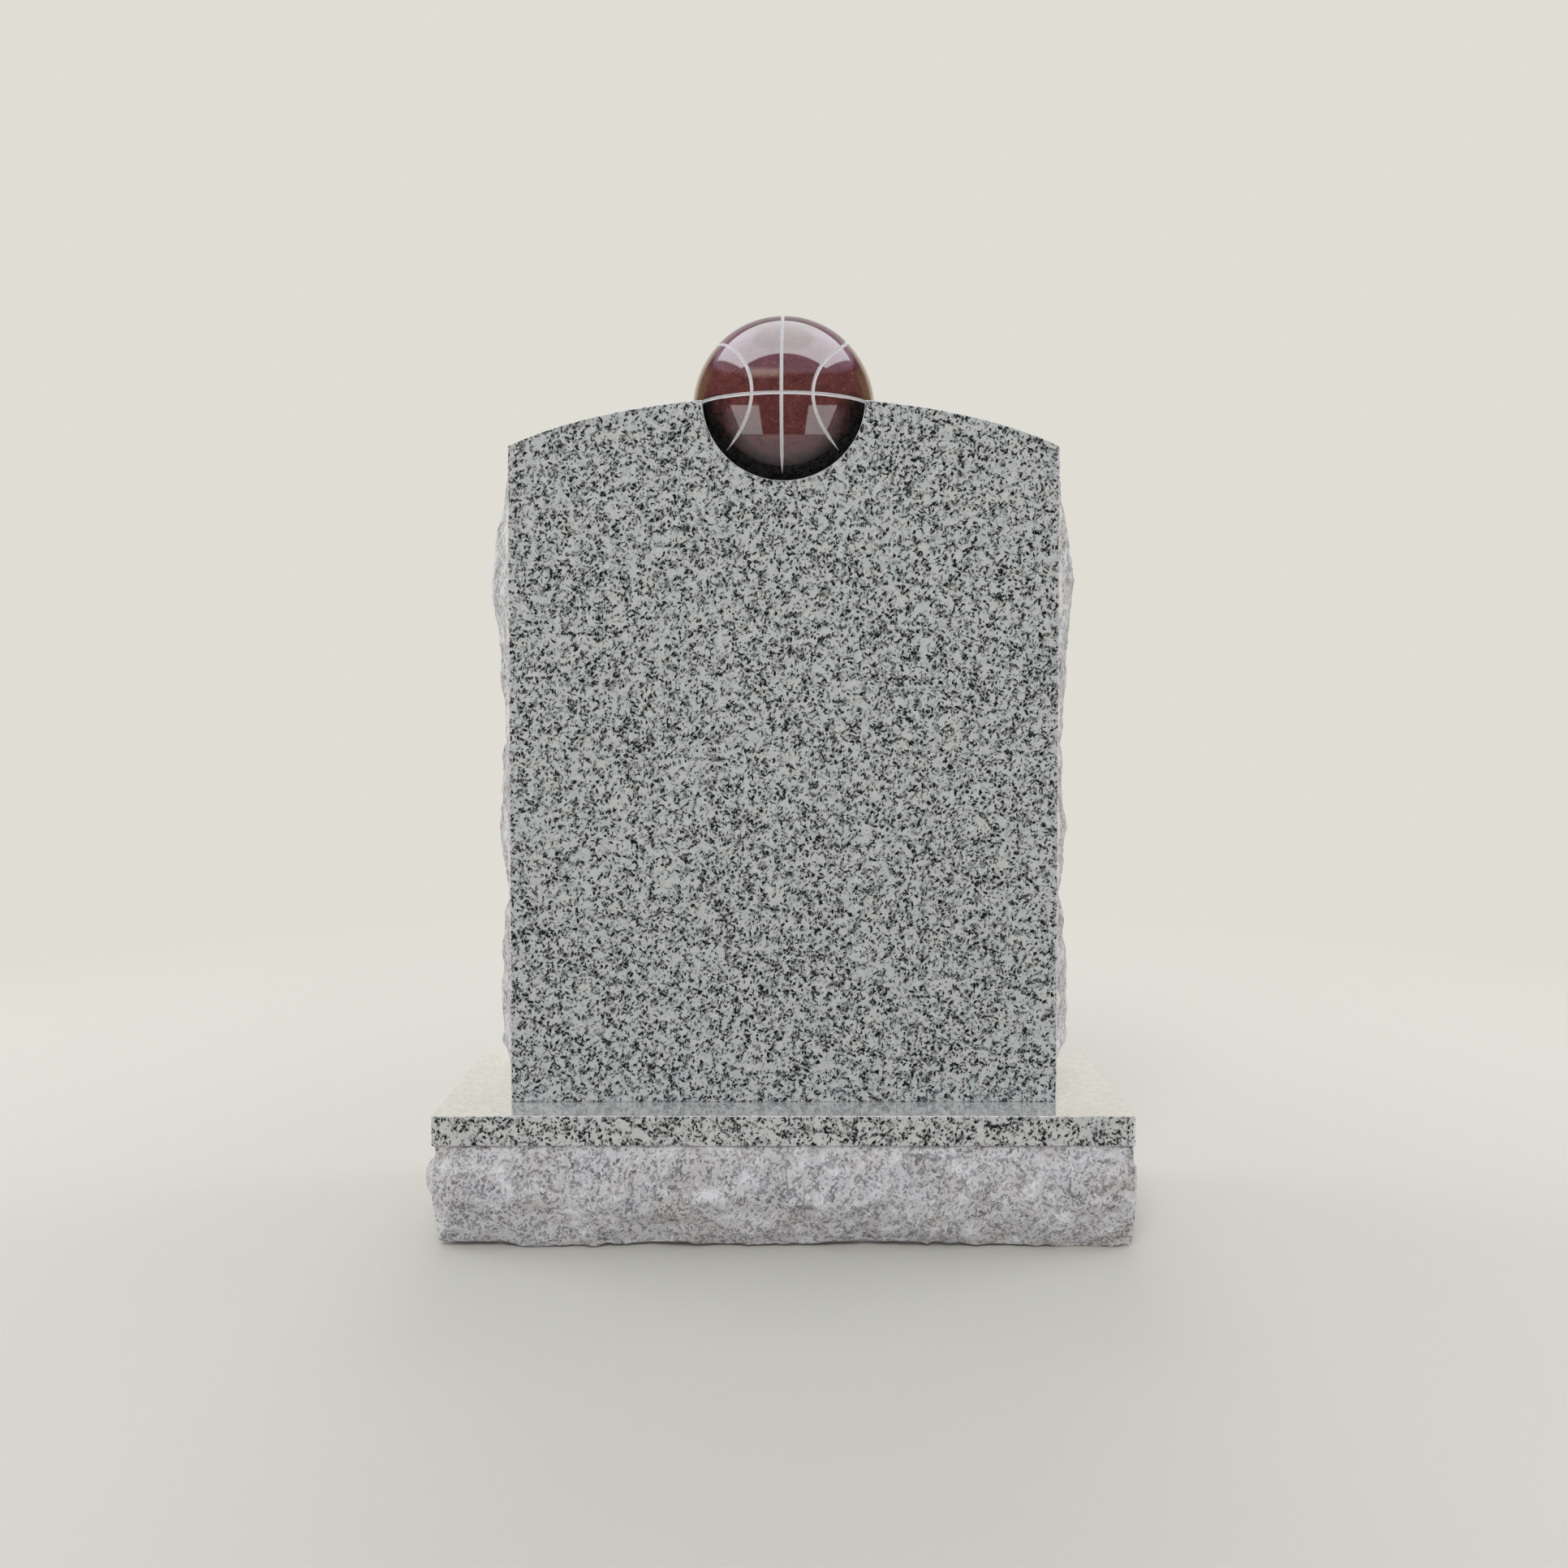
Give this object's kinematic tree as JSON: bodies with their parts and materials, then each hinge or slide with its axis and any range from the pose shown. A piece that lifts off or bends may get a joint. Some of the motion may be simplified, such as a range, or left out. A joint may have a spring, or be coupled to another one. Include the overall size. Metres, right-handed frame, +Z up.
{
  "type": "headstone",
  "caption": "Upright granite headstone: rock-pitched base, polished tablet with an arched top, and a polished red granite basketball resting in a half-round notch.",
  "frame": {"origin": "centre of the base's underside, where the stone stands on the ground", "axes": "+Z up, -Y towards the front, the polished face with the ball in front view, +X to the right as seen from the front"},
  "size_m": [0.79, 0.282, 1.039],
  "materials": {
    "base_granite": "light grey granite with black speckle, sawn and polished on top and round the band, hand-broken below",
    "tablet_granite": "light grey granite with black speckle, polished faces, hand-broken side edges",
    "ball_granite": "dark red-brown granite, high polish, with pale sandblasted grooves"
  },
  "bodies": {
    "root": {"base": "base_granite", "tablet": "tablet_granite", "ball": "ball_granite"}
  },
  "joints": []
}
